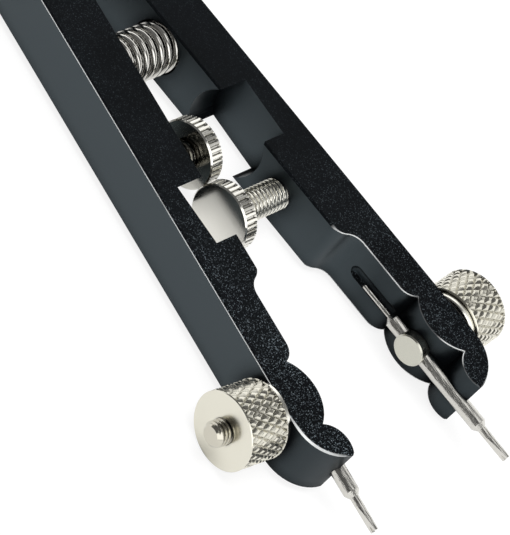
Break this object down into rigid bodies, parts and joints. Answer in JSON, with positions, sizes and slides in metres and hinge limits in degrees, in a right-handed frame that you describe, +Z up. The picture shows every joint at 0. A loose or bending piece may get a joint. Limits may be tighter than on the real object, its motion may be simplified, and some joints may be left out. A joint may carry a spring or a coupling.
{
  "type": "spring bar pliers",
  "caption": "Two sprung black arms on a rear hinge, with grooved stop wheels, knurled clamp nuts and sliding forked bits that press in a watch spring bar.",
  "frame": {"origin": "under the middle of the tool at rest, on the surface that it lies on", "axes": "+X from the hinge to the fork tips, +Y from the left arm to the right arm, +Z up along the hinge axis"},
  "size_m": [0.1394, 0.0614, 0.012],
  "materials": {
    "black_anodised": "satin black anodised, bright at worn edges",
    "nickel_plate": "satin nickel plate",
    "bright_steel": "ground bright",
    "spring_steel": "drawn wire, bright",
    "brass": "turned"
  },
  "bodies": {
    "left_arm": {"left_arm": "black_anodised", "hinge_screw": "nickel_plate", "hinge_nut": "nickel_plate", "hinge_washer_upper": "bright_steel", "hinge_washer_lower": "bright_steel", "left_clamp_washer": "bright_steel", "coil_spring": "spring_steel"},
    "right_arm": {"right_arm": "black_anodised", "hinge_bush": "brass", "right_clamp_washer": "bright_steel"},
    "left_stop_screw": {"left_stop_screw": "bright_steel"},
    "left_stop_wheel": {"left_stop_wheel": "nickel_plate"},
    "right_stop_screw": {"right_stop_screw": "bright_steel"},
    "right_stop_wheel": {"right_stop_wheel": "nickel_plate"},
    "left_clamp_bolt": {"left_clamp_bolt": "nickel_plate"},
    "right_clamp_bolt": {"right_clamp_bolt": "nickel_plate"},
    "left_clamp_nut": {"left_clamp_nut": "nickel_plate"},
    "right_clamp_nut": {"right_clamp_nut": "nickel_plate"},
    "left_fork_bit": {"left_fork_bit": "bright_steel"},
    "right_fork_bit": {"right_fork_bit": "bright_steel"}
  },
  "joints": [
    {"name": "arm_hinge", "type": "hinge", "parent": "left_arm", "child": "right_arm", "pos_m": [-0.06031, 0, 0.006], "axis": [0, 0, -1], "range_deg": [0, 5], "stiffness_Nm_per_rad": 3, "springref_deg": -3.44, "deforming": ["coil_spring"]},
    {"name": "left_stop_screw_travel", "type": "slide", "parent": "left_arm", "child": "left_stop_screw", "axis": [0, 1, 0], "range_m": [-0.0015, 0.005]},
    {"name": "left_stop_wheel_turn", "type": "hinge", "parent": "left_stop_screw", "child": "left_stop_wheel", "pos_m": [0.00719, -0.00045, 0.006], "axis": [0, 1, 0], "range_deg": [-675, 2250]},
    {"name": "right_stop_screw_travel", "type": "slide", "parent": "right_arm", "child": "right_stop_screw", "axis": [0, -1, 0], "range_m": [-0.0035, 0.0003]},
    {"name": "right_stop_wheel_turn", "type": "hinge", "parent": "right_stop_screw", "child": "right_stop_wheel", "pos_m": [0.01829, -0.0049, 0.006], "axis": [0, -1, 0], "range_deg": [-1575, 135]},
    {"name": "left_clamp_nut_turn", "type": "hinge", "parent": "left_arm", "child": "left_clamp_nut", "pos_m": [0.04726, -0.02401, 0.006], "axis": [-0.0976, -0.9952, 0], "range_deg": [0, 720]},
    {"name": "left_clamp_bolt_release", "type": "slide", "parent": "left_arm", "child": "left_clamp_bolt", "axis": [0.0976, 0.9952, 0], "range_m": [0, 0.0014]},
    {"name": "left_fork_bit_slide", "type": "slide", "parent": "left_clamp_bolt", "child": "left_fork_bit", "axis": [0.9952, -0.0976, 0], "range_m": [-0.003, 0.006]},
    {"name": "right_clamp_nut_turn", "type": "hinge", "parent": "right_arm", "child": "right_clamp_nut", "pos_m": [0.04726, 0.02401, 0.006], "axis": [-0.0976, 0.9952, 0], "range_deg": [0, 720]},
    {"name": "right_clamp_bolt_release", "type": "slide", "parent": "right_arm", "child": "right_clamp_bolt", "axis": [0.0976, -0.9952, 0], "range_m": [0, 0.0014]},
    {"name": "right_fork_bit_slide", "type": "slide", "parent": "right_clamp_bolt", "child": "right_fork_bit", "axis": [0.9952, 0.0976, 0], "range_m": [-0.003, 0.006]}
  ],
  "couplings": [
    {"joint": "left_stop_wheel_turn", "follows": "left_stop_screw_travel", "rad_per_m": 7854},
    {"joint": "right_stop_wheel_turn", "follows": "right_stop_screw_travel", "rad_per_m": 7854},
    {"joint": "left_clamp_nut_turn", "follows": "left_clamp_bolt_release", "rad_per_m": 8976},
    {"joint": "right_clamp_nut_turn", "follows": "right_clamp_bolt_release", "rad_per_m": 8976}
  ]
}
